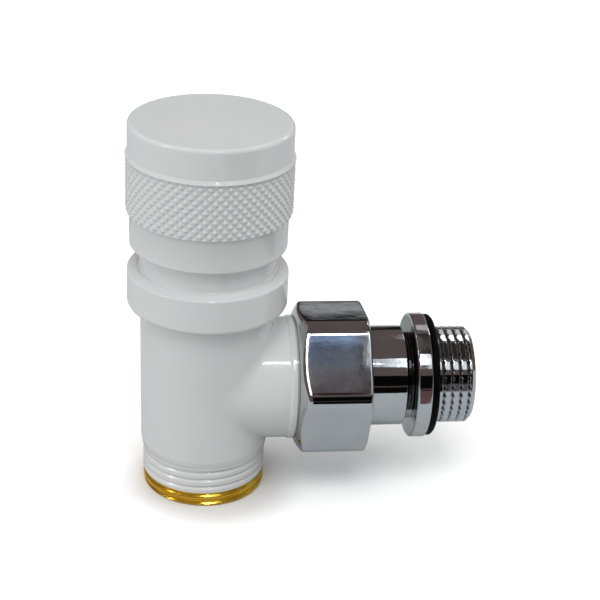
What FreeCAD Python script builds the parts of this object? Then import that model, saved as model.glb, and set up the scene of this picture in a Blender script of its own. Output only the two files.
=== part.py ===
import FreeCAD, Part
import math
import os
import re

import Sketcher

# Manual radiator valve, angle pattern, shown open. Millimetres, +Z up.
# The origin is the centre of the inlet's end face, and the branch leaves along +X.

# Driving dimensions: name, value, what it measures
SIZES = [
    # Fits
    ("seat_gap", 0.05, "gap between pieces that are pressed or screwed together"),
    ("run_gap", 0.10, "radial gap where a shaft turns or slides in a hole"),
    ("free_gap", 0.30, "gap between pieces that move past each other"),
    # Body, inlet to neck
    ("inlet_thread_d", 26.44, "major diameter of the inlet thread"),
    ("inlet_thread_len", 8.4, "height of the threaded inlet end"),
    ("inlet_chamfer", 0.4, "bevel at the inlet's end face"),
    ("inlet_bore_d", 18.0, "bore of the inlet"),
    ("body_d", 27.4, "body above the inlet thread"),
    ("body_taper_len", 2.6, "cone from the thread up to the body"),
    ("body_draft", 0.4, "growth of the body's radius up to the collar"),
    ("collar_bottom", 42.9, "height of the collar's lower edge"),
    ("collar_height", 7.8, "height of the collar's upright wall"),
    ("collar_d", 33.74, "collar"),
    ("collar_round", 0.5, "rounding of the collar's lower edge"),
    ("rim_width", 1.95, "width of the bevel on top of the collar"),
    ("rim_rise", 0.7, "rise of that bevel"),
    ("neck_d", 28.6, "neck above the collar"),
    ("neck_height", 6.1, "neck above the bevel"),
    ("cove_round", 0.6, "hollow rounding between bevel and neck"),
    # Seat and chamber
    ("seat_height", 16.4, "top of the seat lip"),
    ("seat_d", 12.5, "opening of the seat"),
    ("seat_lip_width", 1.35, "width of the raised seat lip"),
    ("seat_lip_height", 1.0, "height of the raised seat lip"),
    ("seat_web", 3.0, "thickness of the wall that carries the seat"),
    ("chamber_d", 21.0, "chamber above the seat"),
    # Branch
    ("branch_height", 24.4, "height of the branch axis"),
    ("branch_step", 0.6, "branch radius below the body's radius"),
    ("branch_len", 18.6, "branch from the valve axis to its union thread"),
    ("branch_bore_d", 16.0, "bore of the branch"),
    ("crease_round", 0.8, "rounding where branch and body meet"),
    ("union_thread_d", 25.8, "union thread on the branch"),
    ("union_thread_len", 9.4, "length of the union thread"),
    ("socket_d", 20.0, "socket for the tail's nose"),
    ("socket_depth", 8.5, "depth of that socket"),
    # Bonnet and gland
    ("bonnet_thread_d", 22.0, "bonnet thread in the body"),
    ("bonnet_depth", 17.5, "bonnet below the neck's top"),
    ("bonnet_hex", 24.0, "bonnet across flats"),
    ("bonnet_hex_height", 5.0, "height of the bonnet's hexagon"),
    ("bonnet_seal_height", 0.5, "thickness of the bonnet seal"),
    ("bonnet_seal_width", 2.3, "width of the bonnet seal"),
    ("gland_bore_d", 13.0, "gland chamber in the bonnet"),
    ("gland_depth", 6.0, "depth of the gland chamber"),
    ("stem_land", 5.0, "length of the stem bore below the gland chamber"),
    ("lower_ring_section", 1.8, "section of the lower spindle O-ring"),
    ("gland_washer_height", 0.8, "thickness of the gland washer"),
    ("gland_hex", 14.0, "gland nut across flats"),
    ("gland_hex_height", 3.5, "height of the gland nut's hexagon"),
    # Spindle and disc
    ("lift", 4.5, "lift of the disc from closed to open"),
    ("spindle_thread_d", 12.0, "spindle thread"),
    ("spindle_thread_len", 15.2, "length of the spindle thread"),
    ("stem_d", 8.0, "stem through the gland"),
    ("lower_stem_d", 7.0, "stem between thread and disc"),
    ("swivel_d", 6.8, "swivel collar at the spindle's foot"),
    ("swivel_height", 2.0, "height of the swivel collar"),
    ("swivel_neck_d", 4.4, "neck above the swivel collar"),
    ("swivel_gap", 0.2, "play of the swivel"),
    ("swivel_ring_height", 0.8, "thickness of the swivel ring"),
    ("swivel_ring_grip", 0.5, "depth of the ring's groove in the holder"),
    ("swivel_wall", 2.0, "wall of the swivel socket"),
    ("disc_d", 18.8, "disc holder"),
    ("disc_web", 3.0, "thickness of the disc holder's web"),
    ("disc_seal_d", 16.4, "disc seal"),
    ("disc_seal_height", 2.5, "thickness of the disc seal"),
    ("disc_rim", 1.5, "depth of the rim round the disc seal"),
    ("disc_washer_d", 10.8, "washer under the disc seal"),
    ("disc_washer_height", 0.8, "thickness of that washer"),
    ("disc_screw_d", 5.0, "disc screw"),
    ("disc_screw_head_d", 8.0, "head of the disc screw"),
    ("disc_screw_head_height", 2.0, "height of that head"),
    # Handwheel
    ("knob_gap", 0.6, "gap under the handwheel when the valve is closed"),
    ("skirt_d", 32.8, "lower skirt of the handwheel"),
    ("skirt_height", 7.4, "height of the lower skirt"),
    ("skirt_round", 0.4, "rounding of the skirt's lower edge"),
    ("knurl_d", 34.7, "over the crests of the knurl"),
    ("knurl_depth", 0.55, "depth of the knurl"),
    ("knurl_height", 11.9, "height of the knurled band"),
    ("knurl_overlap", 0.2, "run of the knurl into the cone above it"),
    ("knurl_count", 54, "knurl points in one turn"),
    ("knurl_rows", 6, "knurl points up the band"),
    ("flare_d", 34.9, "lower edge of the cone above the knurl"),
    ("flare_height", 0.9, "height of that cone"),
    ("crown_d", 33.8, "plain crown of the handwheel"),
    ("crown_height", 6.3, "height of the plain crown"),
    ("crown_round", 1.0, "rounding of the crown's upper edge"),
    ("crown_wall", 4.0, "top wall of the handwheel"),
    ("knob_bore_d", 29.4, "hollow of the handwheel"),
    ("hub_d", 14.0, "hub in the handwheel"),
    ("hub_height", 7.1, "height of the hub"),
    ("hub_wall", 2.0, "wall of the boss that holds the hub"),
    ("hub_flange_height", 0.6, "thickness of the hub's foot"),
    ("spindle_end_d", 6.0, "spindle end in the hub"),
    ("clip_height", 0.8, "thickness of the hub clip"),
    ("clip_grip", 0.5, "depth of the clip's groove in the spindle"),
    ("clip_width", 1.6, "radial width of the hub clip"),
    # Union nut
    ("nut_flats", 29.7, "union nut across flats"),
    ("nut_corner_round", 4.0, "rounding of the nut's long edges"),
    ("nut_len", 15.4, "length of the union nut"),
    ("nut_face_d", 27.6, "nut's end face towards the body"),
    ("nut_bevel_len", 1.9, "length of the bevel at that face"),
    ("nut_nose_d", 31.2, "nut's end face towards the tail"),
    ("nut_nose_bevel_len", 0.8, "length of the bevel at that face"),
    ("nut_lip", 3.4, "thickness of the nut's inner lip"),
    # Tail
    ("barrel_d", 21.7, "barrel of the tail"),
    ("barrel_len", 9.8, "barrel between nut and flange"),
    ("tail_bore_d", 15.0, "bore of the tail"),
    ("nose_ring_section", 1.6, "section of the O-ring on the tail's nose"),
    ("nose_ring_place", 4.0, "that O-ring from the socket's mouth"),
    ("ring_width", 1.1, "thickness of the nut's retaining ring"),
    ("ring_grip", 0.8, "depth of its groove in the barrel"),
    ("ring_stand", 1.35, "height of the ring above the barrel"),
    ("relief_len", 1.2, "turned relief beside the flange"),
    ("relief_depth", 0.5, "depth of that relief"),
    ("flange_d", 27.1, "flange of the tail"),
    ("flange_width", 3.25, "thickness of the flange"),
    ("flange_bevel", 0.5, "bevel of the flange's edges"),
    ("flange_seal_d", 26.5, "black seal behind the flange"),
    ("flange_seal_width", 1.6, "thickness of that seal"),
    ("seal_seat_depth", 0.9, "depth of the seal's seat below the outlet thread"),
    ("tail_thread_d", 20.955, "major diameter of the outlet thread"),
    ("tail_thread_len", 8.35, "outlet thread beyond the seal"),
    ("tail_chamfer", 0.8, "bevel at the outlet's end"),
]

# Heights on the valve axis, as expressions of the driving dimensions
COLLAR_TOP = "collar_bottom + collar_height"
RIM_TOP = COLLAR_TOP + " + rim_rise"
NECK_TOP = RIM_TOP + " + neck_height"
WEB_TOP = "seat_height - seat_lip_height"
WEB_BOTTOM = WEB_TOP + " - seat_web"
BONNET_BOTTOM = NECK_TOP + " - bonnet_depth"
HEX_BOTTOM = NECK_TOP + " + bonnet_seal_height"
HEX_TOP = HEX_BOTTOM + " + bonnet_hex_height"
GLAND_FLOOR = HEX_TOP + " - gland_depth"
STEM_SHOULDER = GLAND_FLOOR + " - stem_land"
UPPER_RING_SECTION = "(gland_bore_d - stem_d) / 2 - run_gap - seat_gap"
WASHER_BOTTOM = GLAND_FLOOR + " + " + UPPER_RING_SECTION
GLAND_NUT_BOTTOM = WASHER_BOTTOM + " + gland_washer_height"
GLAND_TOP = HEX_TOP + " + gland_hex_height"
SEAL_BOTTOM = "seat_height + lift + seat_gap"
SEAL_TOP = SEAL_BOTTOM + " + disc_seal_height"
DISC_TOP = SEAL_TOP + " + disc_web"
SWIVEL_BOTTOM = DISC_TOP + " + swivel_gap"
SWIVEL_TOP = SWIVEL_BOTTOM + " + swivel_height"
SWIVEL_RING_BOTTOM = SWIVEL_TOP + " + swivel_gap"
SWIVEL_RING_TOP = SWIVEL_RING_BOTTOM + " + swivel_ring_height"
SOCKET_TOP = SWIVEL_RING_TOP + " + swivel_ring_height"
THREAD_TOP = STEM_SHOULDER + " - free_gap"
THREAD_BOTTOM = THREAD_TOP + " - spindle_thread_len"
SKIRT_BOTTOM = RIM_TOP + " + lift + knob_gap"
KNURL_BOTTOM = SKIRT_BOTTOM + " + skirt_height"
KNURL_TOP = KNURL_BOTTOM + " + knurl_height"
FLARE_TOP = KNURL_TOP + " + flare_height"
CROWN_TOP = FLARE_TOP + " + crown_height"
CEILING = CROWN_TOP + " - crown_wall"
HUB_TOP = CEILING + " - seat_gap"
HUB_BOTTOM = HUB_TOP + " - hub_height"
BOSS_BOTTOM = HUB_BOTTOM + " + hub_flange_height + seat_gap"
CLIP_BOTTOM = HUB_BOTTOM + " + hub_height / 2"
CLIP_TOP = CLIP_BOTTOM + " + clip_height"
CLIP_IN_R = "spindle_end_d / 2 - clip_grip"

# Places along the branch, from the valve axis
UNION_END = "branch_len + union_thread_len"
SOCKET_FLOOR = UNION_END + " - socket_depth"
NUT_START = "branch_len + free_gap"
NUT_END = NUT_START + " + nut_len"
LIP_START = NUT_END + " - nut_lip"
NOSE_START = SOCKET_FLOOR + " + free_gap"
TAIL_SHOULDER = UNION_END + " + free_gap"
RING_END = LIP_START + " - seat_gap"
RING_START = RING_END + " - ring_width"
FLANGE_START = NUT_END + " + barrel_len"
RELIEF_START = FLANGE_START + " - relief_len"
FLANGE_END = FLANGE_START + " + flange_width"
SEAL_END = FLANGE_END + " + flange_seal_width"
TAIL_END = SEAL_END + " + tail_thread_len"
NOSE_R = "socket_d / 2 - free_gap"
NOSE_RING_CENTRE = UNION_END + " - nose_ring_place"
NOSE_RING_R = "socket_d / 2 - run_gap - nose_ring_section / 2"

FULL_TURN = 360
SPLIT_TURN = 335
NUT_CLOCK_DEG = -8.0
CLOSE_ENOUGH = 1e-4

doc = FreeCAD.newDocument("RadiatorValve")
sheet = doc.addObject("Spreadsheet::Sheet", "sizes")
for row, (alias, number, note) in enumerate(SIZES, 1):
    sheet.set("A%d" % row, note)
    sheet.set("B%d" % row, str(number))
    sheet.setAlias("B%d" % row, alias)
doc.recompute()

aliases = {alias for alias, number, note in SIZES}
nodes = []


def size(expression):
    """The value of an expression of the driving dimensions."""
    return float(sheet.evalExpression(expression))


def link(expression):
    """The same expression with each name pointing at the sheet."""
    def point(name):
        return "sizes." + name.group() if name.group() in aliases else name.group()

    return re.sub(r"[a-z_]+", point, expression)


def half(name):
    """A radius from a diameter's name."""
    return name + " / 2"


def corner_of(flats):
    """A hexagon's corner radius from its width across flats."""
    return flats + " / sqrt(3)"


def keep(piece, label):
    """Name a finished sub-part and list it."""
    piece.Label = label
    nodes.append(piece)
    return piece


def lay(piece, clock_deg=0.0):
    """Turn a piece that was made upright so that its axis is the branch axis."""
    tip_over = FreeCAD.Rotation(FreeCAD.Vector(0, 1, 0), 90)
    clock = FreeCAD.Rotation(FreeCAD.Vector(0, 0, 1), clock_deg)
    piece.Placement = FreeCAD.Placement(FreeCAD.Vector(), tip_over * clock)
    piece.setExpression("Placement.Base.z", link("branch_height"))


def new_sketch(body, role, name):
    """A sketch on one of the body's own origin planes."""
    sketch = body.newObject("Sketcher::SketchObject", name)
    plane = next(item for item in body.Origin.OriginFeatures if item.Role == role)
    sketch.AttachmentSupport = [(plane, "")]
    sketch.MapMode = "FlatFace"
    return sketch


def draw(sketch, points):
    """A closed outline of straight lines, each corner bound to the sheet."""
    corners = [FreeCAD.Vector(size(across), size(along), 0) for across, along in points]
    count = len(points)
    for index in range(count):
        sketch.addGeometry(Part.LineSegment(corners[index], corners[(index + 1) % count]), False)
    for index in range(count):
        sketch.addConstraint(Sketcher.Constraint("Coincident", index, 2, (index + 1) % count, 1))
    for index, (across, along) in enumerate(points):
        bind(sketch, "DistanceX", index, corners[index].x, "across%d" % index, across)
        bind(sketch, "DistanceY", index, corners[index].y, "along%d" % index, along)


def bind(sketch, kind, line, number, name, expression):
    """Set one coordinate of a line's first point from the sheet."""
    constraint = sketch.addConstraint(Sketcher.Constraint(kind, -1, 1, line, 1, number))
    sketch.renameConstraint(constraint, name)
    sketch.setExpression("Constraints." + name, link(expression))


def turn(body, points, name, feature="Revolution", axis="V_Axis", angle=FULL_TURN, raise_by=None):
    """Turn an outline round the sketch's upright or level axis, adding or cutting."""
    sketch = new_sketch(body, "XZ_Plane", name + "_outline")
    if raise_by:
        sketch.setExpression("AttachmentOffset.Base.y", link(raise_by))
    draw(sketch, points)
    result = body.newObject("PartDesign::" + feature, name)
    result.Profile = sketch
    result.ReferenceAxis = (sketch, [axis])
    result.Angle = angle
    doc.recompute()
    return result


def turned(label, points, angle=FULL_TURN):
    """A sub-part made by turning one outline about its own upright axis."""
    body = doc.addObject("PartDesign::Body", label + "_body")
    turn(body, points, label + "_turning", angle=angle)
    return keep(body, label)


def ring_outline(inner, outer, low, high):
    """The square section of a plain ring."""
    return [(inner, low), (outer, low), (outer, high), (inner, high)]


def hexagon(body, flats, low, height, name):
    """A hexagonal bar on the body's axis, with two flats across the sketch's X axis."""
    sketch = new_sketch(body, "XY_Plane", name + "_outline")
    sketch.setExpression("AttachmentOffset.Base.z", link(low))
    flat = half(flats)
    half_side = flats + " / sqrt(12)"
    corner = corner_of(flats)
    draw(sketch, [
        (flat, "-" + half_side),
        (flat, half_side),
        ("0", corner),
        ("-" + flat, half_side),
        ("-" + flat, "-" + half_side),
        ("0", "-" + corner),
    ])
    pad = body.newObject("PartDesign::Pad", name)
    pad.Profile = sketch
    pad.setExpression("Length", link(height))
    doc.recompute()
    return pad


def rounded(body, edges, radius, name):
    """Round the named edges of the body's last feature."""
    base = body.Tip
    fillet = body.newObject("PartDesign::Fillet", name)
    fillet.Base = (base, edges)
    fillet.setExpression("Radius", link(radius))
    doc.recompute()
    return fillet


def circles(body, radius, height):
    """Names of the body's level circular edges with this radius and height."""
    found = []
    for number, edge in enumerate(body.Tip.Shape.Edges, 1):
        curve = edge.Curve
        if curve.TypeId != "Part::GeomCircle":
            continue
        same_size = abs(curve.Radius - size(radius)) < CLOSE_ENOUGH
        if same_size and abs(curve.Center.z - size(height)) < CLOSE_ENOUGH:
            found.append("Edge%d" % number)
    return found


def upright_lines(body):
    """Names of the straight edges of the body that run along its axis."""
    found = []
    for number, edge in enumerate(body.Tip.Shape.Edges, 1):
        if edge.Curve.TypeId != "Part::GeomLine":
            continue
        if abs(edge.Curve.Direction.z) > 1 - CLOSE_ENOUGH:
            found.append("Edge%d" % number)
    return found


def creases(body):
    """Names of the free-form edges where two round walls run into each other."""
    found = []
    for number, edge in enumerate(body.Tip.Shape.Edges, 1):
        if edge.Curve.TypeId == "Part::GeomBSplineCurve":
            found.append("Edge%d" % number)
    return found


def o_ring(label, radius, section, place, lying=False):
    """A round-section ring about the valve axis, or about the branch axis."""
    ring = doc.addObject("Part::Torus", label + "_torus")
    ring.setExpression("Radius1", link(radius))
    ring.setExpression("Radius2", link(section + " / 2"))
    if lying:
        lay(ring)
        ring.setExpression("Placement.Base.x", link(place))
    else:
        ring.setExpression("Placement.Base.z", link(place))
    return keep(ring, label)


def make_body():
    """The forged body: solid outside first, then the bores."""
    body = doc.addObject("PartDesign::Body", "valve_body_body")
    rim_r = "collar_d / 2 - rim_width"
    turn(body, [
        ("0", "0"),
        ("inlet_thread_d / 2 - inlet_chamfer", "0"),
        (half("inlet_thread_d"), "inlet_chamfer"),
        (half("inlet_thread_d"), "inlet_thread_len"),
        (half("body_d"), "inlet_thread_len + body_taper_len"),
        ("body_d / 2 + body_draft", "collar_bottom"),
        (half("collar_d"), "collar_bottom"),
        (half("collar_d"), COLLAR_TOP),
        (rim_r, RIM_TOP),
        (half("neck_d"), RIM_TOP),
        (half("neck_d"), NECK_TOP),
        ("0", NECK_TOP),
    ], "body_outside")
    rounded(body, circles(body, half("neck_d"), RIM_TOP), "cove_round", "neck_cove")
    rounded(body, circles(body, half("collar_d"), "collar_bottom"), "collar_round", "collar_edge")
    turn(body, [
        ("0", "0"),
        (UNION_END, "0"),
        (UNION_END, half("union_thread_d")),
        ("branch_len", half("union_thread_d")),
        ("branch_len", "body_d / 2 - branch_step"),
        ("0", "body_d / 2 - branch_step"),
    ], "branch", axis="H_Axis", raise_by="branch_height")
    rounded(body, creases(body), "crease_round", "crease")
    lip_r = "seat_d / 2 + seat_lip_width"
    bonnet_bore = "bonnet_thread_d / 2 + seat_gap"
    turn(body, [
        ("0", "0"),
        (half("inlet_bore_d"), "0"),
        (half("inlet_bore_d"), WEB_BOTTOM),
        (half("seat_d"), WEB_BOTTOM),
        (half("seat_d"), "seat_height"),
        (lip_r, "seat_height"),
        (lip_r, WEB_TOP),
        (half("chamber_d"), WEB_TOP),
        (half("chamber_d"), BONNET_BOTTOM + " - free_gap"),
        (bonnet_bore, BONNET_BOTTOM + " - free_gap"),
        (bonnet_bore, NECK_TOP),
        ("0", NECK_TOP),
    ], "upright_bores", feature="Groove")
    turn(body, [
        (half("seat_d"), "0"),
        (UNION_END, "0"),
        (UNION_END, half("socket_d")),
        (SOCKET_FLOOR, half("socket_d")),
        (SOCKET_FLOOR, half("branch_bore_d")),
        (half("seat_d"), half("branch_bore_d")),
    ], "branch_bores", feature="Groove", axis="H_Axis", raise_by="branch_height")
    return keep(body, "valve_body")


def make_bonnet():
    """The screwed-in bonnet with its hexagon, and the seal under it."""
    body = doc.addObject("PartDesign::Body", "headwork_bonnet_body")
    turn(body, [
        ("0", BONNET_BOTTOM),
        (half("bonnet_thread_d"), BONNET_BOTTOM),
        (half("bonnet_thread_d"), HEX_BOTTOM),
        ("0", HEX_BOTTOM),
    ], "bonnet_barrel")
    hexagon(body, "bonnet_hex", HEX_BOTTOM, "bonnet_hex_height", "bonnet_hexagon")
    groove_low = STEM_SHOULDER + " + (stem_land - lower_ring_section) / 2 - seat_gap"
    groove_high = STEM_SHOULDER + " + (stem_land + lower_ring_section) / 2 + seat_gap"
    groove_r = "stem_d / 2 + run_gap + lower_ring_section + seat_gap"
    stem_r = "stem_d / 2 + run_gap"
    turn(body, [
        ("0", BONNET_BOTTOM),
        ("spindle_thread_d / 2 + run_gap", BONNET_BOTTOM),
        ("spindle_thread_d / 2 + run_gap", STEM_SHOULDER),
        (stem_r, STEM_SHOULDER),
        (stem_r, groove_low),
        (groove_r, groove_low),
        (groove_r, groove_high),
        (stem_r, groove_high),
        (stem_r, GLAND_FLOOR),
        (half("gland_bore_d"), GLAND_FLOOR),
        (half("gland_bore_d"), HEX_TOP),
        ("0", HEX_TOP),
    ], "bonnet_bores", feature="Groove")
    keep(body, "headwork_bonnet")
    seal_in = "bonnet_thread_d / 2 + seat_gap"
    turned("bonnet_seal", ring_outline(seal_in, seal_in + " + bonnet_seal_width", NECK_TOP, HEX_BOTTOM))
    lower_ring_r = "stem_d / 2 + run_gap + lower_ring_section / 2"
    lower_ring_place = STEM_SHOULDER + " + stem_land / 2"
    o_ring("spindle_o_ring_lower", lower_ring_r, "lower_ring_section", lower_ring_place)


def make_gland():
    """The gland nut with the washer and O-ring that it presses down."""
    section = "(" + UPPER_RING_SECTION + ")"
    stem_r = "stem_d / 2 + run_gap"
    outer_r = "gland_bore_d / 2 - seat_gap"
    ring_r = stem_r + " + " + section + " / 2"
    o_ring("spindle_o_ring_upper", ring_r, section, GLAND_FLOOR + " + " + section + " / 2")
    turned("gland_washer", ring_outline(stem_r, outer_r, WASHER_BOTTOM, GLAND_NUT_BOTTOM))
    body = doc.addObject("PartDesign::Body", "gland_nut_body")
    turn(body, [
        ("0", GLAND_NUT_BOTTOM),
        (outer_r, GLAND_NUT_BOTTOM),
        (outer_r, HEX_TOP),
        ("0", HEX_TOP),
    ], "gland_screw")
    hexagon(body, "gland_hex", HEX_TOP, "gland_hex_height", "gland_hexagon")
    turn(body, [
        ("0", GLAND_NUT_BOTTOM),
        (stem_r, GLAND_NUT_BOTTOM),
        (stem_r, GLAND_TOP),
        ("0", GLAND_TOP),
    ], "gland_bore", feature="Groove")
    keep(body, "gland_nut")


def make_spindle():
    """The spindle, from its swivel foot up to the end that carries the handwheel."""
    stem_top = HUB_BOTTOM + " - seat_gap"
    turned("spindle", [
        ("0", SWIVEL_BOTTOM),
        (half("swivel_d"), SWIVEL_BOTTOM),
        (half("swivel_d"), SWIVEL_TOP),
        (half("swivel_neck_d"), SWIVEL_TOP),
        (half("swivel_neck_d"), SOCKET_TOP + " + free_gap"),
        (half("lower_stem_d"), SOCKET_TOP + " + free_gap"),
        (half("lower_stem_d"), THREAD_BOTTOM),
        (half("spindle_thread_d"), THREAD_BOTTOM),
        (half("spindle_thread_d"), THREAD_TOP),
        (half("stem_d"), THREAD_TOP),
        (half("stem_d"), stem_top),
        (half("spindle_end_d"), stem_top),
        (half("spindle_end_d"), CLIP_BOTTOM),
        (CLIP_IN_R, CLIP_BOTTOM),
        (CLIP_IN_R, CLIP_TOP),
        (half("spindle_end_d"), CLIP_TOP),
        (half("spindle_end_d"), HUB_TOP),
        ("0", HUB_TOP),
    ])


def make_disc():
    """The disc holder with its swivel socket, seal, washer and screw."""
    hole_r = "disc_screw_d / 2 + seat_gap"
    pocket_r = "swivel_d / 2 + swivel_gap"
    groove_r = pocket_r + " + swivel_ring_grip"
    seal_r = "disc_seal_d / 2 + seat_gap"
    turned("disc_holder", [
        (hole_r, SEAL_TOP),
        (seal_r, SEAL_TOP),
        (seal_r, SEAL_TOP + " - disc_rim"),
        (half("disc_d"), SEAL_TOP + " - disc_rim"),
        (half("disc_d"), DISC_TOP),
        (pocket_r + " + swivel_wall", DISC_TOP),
        (pocket_r + " + swivel_wall", SOCKET_TOP),
        (pocket_r, SOCKET_TOP),
        (pocket_r, SWIVEL_RING_TOP + " + seat_gap"),
        (groove_r, SWIVEL_RING_TOP + " + seat_gap"),
        (groove_r, SWIVEL_RING_BOTTOM + " - seat_gap"),
        (pocket_r, SWIVEL_RING_BOTTOM + " - seat_gap"),
        (pocket_r, DISC_TOP),
        (hole_r, DISC_TOP),
    ])
    ring_in = "swivel_neck_d / 2 + swivel_gap"
    ring_out = groove_r + " - seat_gap"
    ring = ring_outline(ring_in, ring_out, SWIVEL_RING_BOTTOM, SWIVEL_RING_TOP)
    turned("swivel_ring", ring, SPLIT_TURN)
    turned("disc_seal", ring_outline(hole_r, half("disc_seal_d"), SEAL_BOTTOM, SEAL_TOP))
    washer_bottom = SEAL_BOTTOM + " - disc_washer_height"
    turned("disc_washer", ring_outline(hole_r, half("disc_washer_d"), washer_bottom, SEAL_BOTTOM))
    head_bottom = washer_bottom + " - disc_screw_head_height"
    turned("disc_screw", [
        ("0", head_bottom),
        (half("disc_screw_head_d"), head_bottom),
        (half("disc_screw_head_d"), washer_bottom),
        (half("disc_screw_d"), washer_bottom),
        (half("disc_screw_d"), DISC_TOP + " - swivel_gap"),
        ("0", DISC_TOP + " - swivel_gap"),
    ])


def make_knurl():
    """The diamond knurl: rows of four-sided points, each set over by half a pitch.

    The last row ends inside the cone above it, so that the two become one solid.
    """
    count = int(size("knurl_count"))
    half_rows = 2 * int(size("knurl_rows"))
    crest_r = size(half("knurl_d"))
    root_r = size("knurl_d / 2 - knurl_depth")
    bore_r = size("(skirt_d + knob_bore_d) / 4")
    low = size(KNURL_BOTTOM)
    step_up = size("knurl_height + knurl_overlap") / half_rows
    step_round = math.pi / count

    def corner(column, row):
        radius = crest_r if (column + row) % 2 else root_r
        angle = column * step_round
        return FreeCAD.Vector(radius * math.cos(angle), radius * math.sin(angle), low + row * step_up)

    def triangle(*corners):
        return Part.Face(Part.makePolygon(list(corners) + [corners[0]]))

    faces = []
    for row in range(half_rows + 1):
        for column in range((row + 1) % 2, 2 * count, 2):
            crest = corner(column, row)
            right = corner(column + 1, row)
            left = corner(column - 1, row)
            if row < half_rows:
                above = corner(column, row + 1)
                faces.append(triangle(crest, right, above))
                faces.append(triangle(crest, above, left))
            if row > 0:
                below = corner(column, row - 1)
                faces.append(triangle(crest, left, below))
                faces.append(triangle(crest, below, right))
    for row in (0, half_rows):
        edge = [corner(column, row) for column in range(2 * count)]
        faces.append(Part.Face(Part.makePolygon(edge + [edge[0]])))
    shell = Part.makeShell(faces)
    shell.sewShape()
    solid = Part.Solid(shell)
    if solid.Volume < 0:
        solid.reverse()
    bore = Part.makeCylinder(bore_r, half_rows * step_up, FreeCAD.Vector(0, 0, low))
    knurl = doc.addObject("Part::Feature", "knurl_ring")
    knurl.Shape = solid.cut(bore)
    return knurl


def make_handwheel():
    """The hollow handwheel with its knurl, the hub pressed into it and the hub's clip."""
    cap = doc.addObject("PartDesign::Body", "handwheel_cap")
    boss_in = "hub_d / 2 + seat_gap"
    turn(cap, [
        (half("knob_bore_d"), SKIRT_BOTTOM),
        (half("skirt_d"), SKIRT_BOTTOM),
        (half("skirt_d"), KNURL_TOP),
        (half("flare_d"), KNURL_TOP),
        (half("crown_d"), FLARE_TOP),
        (half("crown_d"), CROWN_TOP),
        ("0", CROWN_TOP),
        ("0", CEILING),
        (boss_in, CEILING),
        (boss_in, BOSS_BOTTOM),
        (boss_in + " + hub_wall", BOSS_BOTTOM),
        (boss_in + " + hub_wall", CEILING),
        (half("knob_bore_d"), CEILING),
    ], "cap_turning")
    rounded(cap, circles(cap, half("crown_d"), CROWN_TOP), "crown_round", "crown_edge")
    rounded(cap, circles(cap, half("skirt_d"), SKIRT_BOTTOM), "skirt_round", "skirt_edge")
    handwheel = doc.addObject("Part::Fuse", "handwheel_fuse")
    handwheel.Base = cap
    handwheel.Tool = make_knurl()
    keep(handwheel, "handwheel")
    bore_r = "spindle_end_d / 2 + seat_gap"
    groove_r = CLIP_IN_R + " + clip_width + seat_gap"
    turned("handwheel_hub", [
        (bore_r, HUB_BOTTOM),
        ("hub_d / 2 + hub_wall", HUB_BOTTOM),
        ("hub_d / 2 + hub_wall", HUB_BOTTOM + " + hub_flange_height"),
        (half("hub_d"), HUB_BOTTOM + " + hub_flange_height"),
        (half("hub_d"), HUB_TOP),
        (bore_r, HUB_TOP),
        (bore_r, CLIP_TOP),
        (groove_r, CLIP_TOP),
        (groove_r, CLIP_BOTTOM),
        (bore_r, CLIP_BOTTOM),
    ])
    clip_in = CLIP_IN_R + " + seat_gap"
    clip_out = CLIP_IN_R + " + clip_width"
    clip_low = CLIP_BOTTOM + " + seat_gap"
    clip_high = CLIP_TOP + " - seat_gap"
    turned("handwheel_clip", ring_outline(clip_in, clip_out, clip_low, clip_high), SPLIT_TURN)


def make_union_nut():
    """The hexagon union nut, with rounded long edges and a bevel at each end."""
    body = doc.addObject("PartDesign::Body", "union_nut_body")
    hexagon(body, "nut_flats", NUT_START, "nut_len", "nut_bar")
    rounded(body, upright_lines(body), "nut_corner_round", "nut_edges")
    corner_r = corner_of("nut_flats")
    far_r = "nut_flats"
    turn(body, [
        (half("nut_face_d"), NUT_START),
        (far_r, NUT_START),
        (far_r, NUT_START + " + nut_bevel_len"),
        (corner_r, NUT_START + " + nut_bevel_len"),
    ], "face_bevel", feature="Groove")
    turn(body, [
        (corner_r, NUT_END + " - nut_nose_bevel_len"),
        (far_r, NUT_END + " - nut_nose_bevel_len"),
        (far_r, NUT_END),
        (half("nut_nose_d"), NUT_END),
    ], "nose_bevel", feature="Groove")
    thread_r = "union_thread_d / 2 + free_gap"
    lip_r = "barrel_d / 2 + run_gap"
    turn(body, [
        ("0", NUT_START),
        (thread_r, NUT_START),
        (thread_r, LIP_START),
        (lip_r, LIP_START),
        (lip_r, NUT_END),
        ("0", NUT_END),
    ], "nut_bores", feature="Groove")
    lay(body, NUT_CLOCK_DEG)
    return keep(body, "union_nut")


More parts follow.
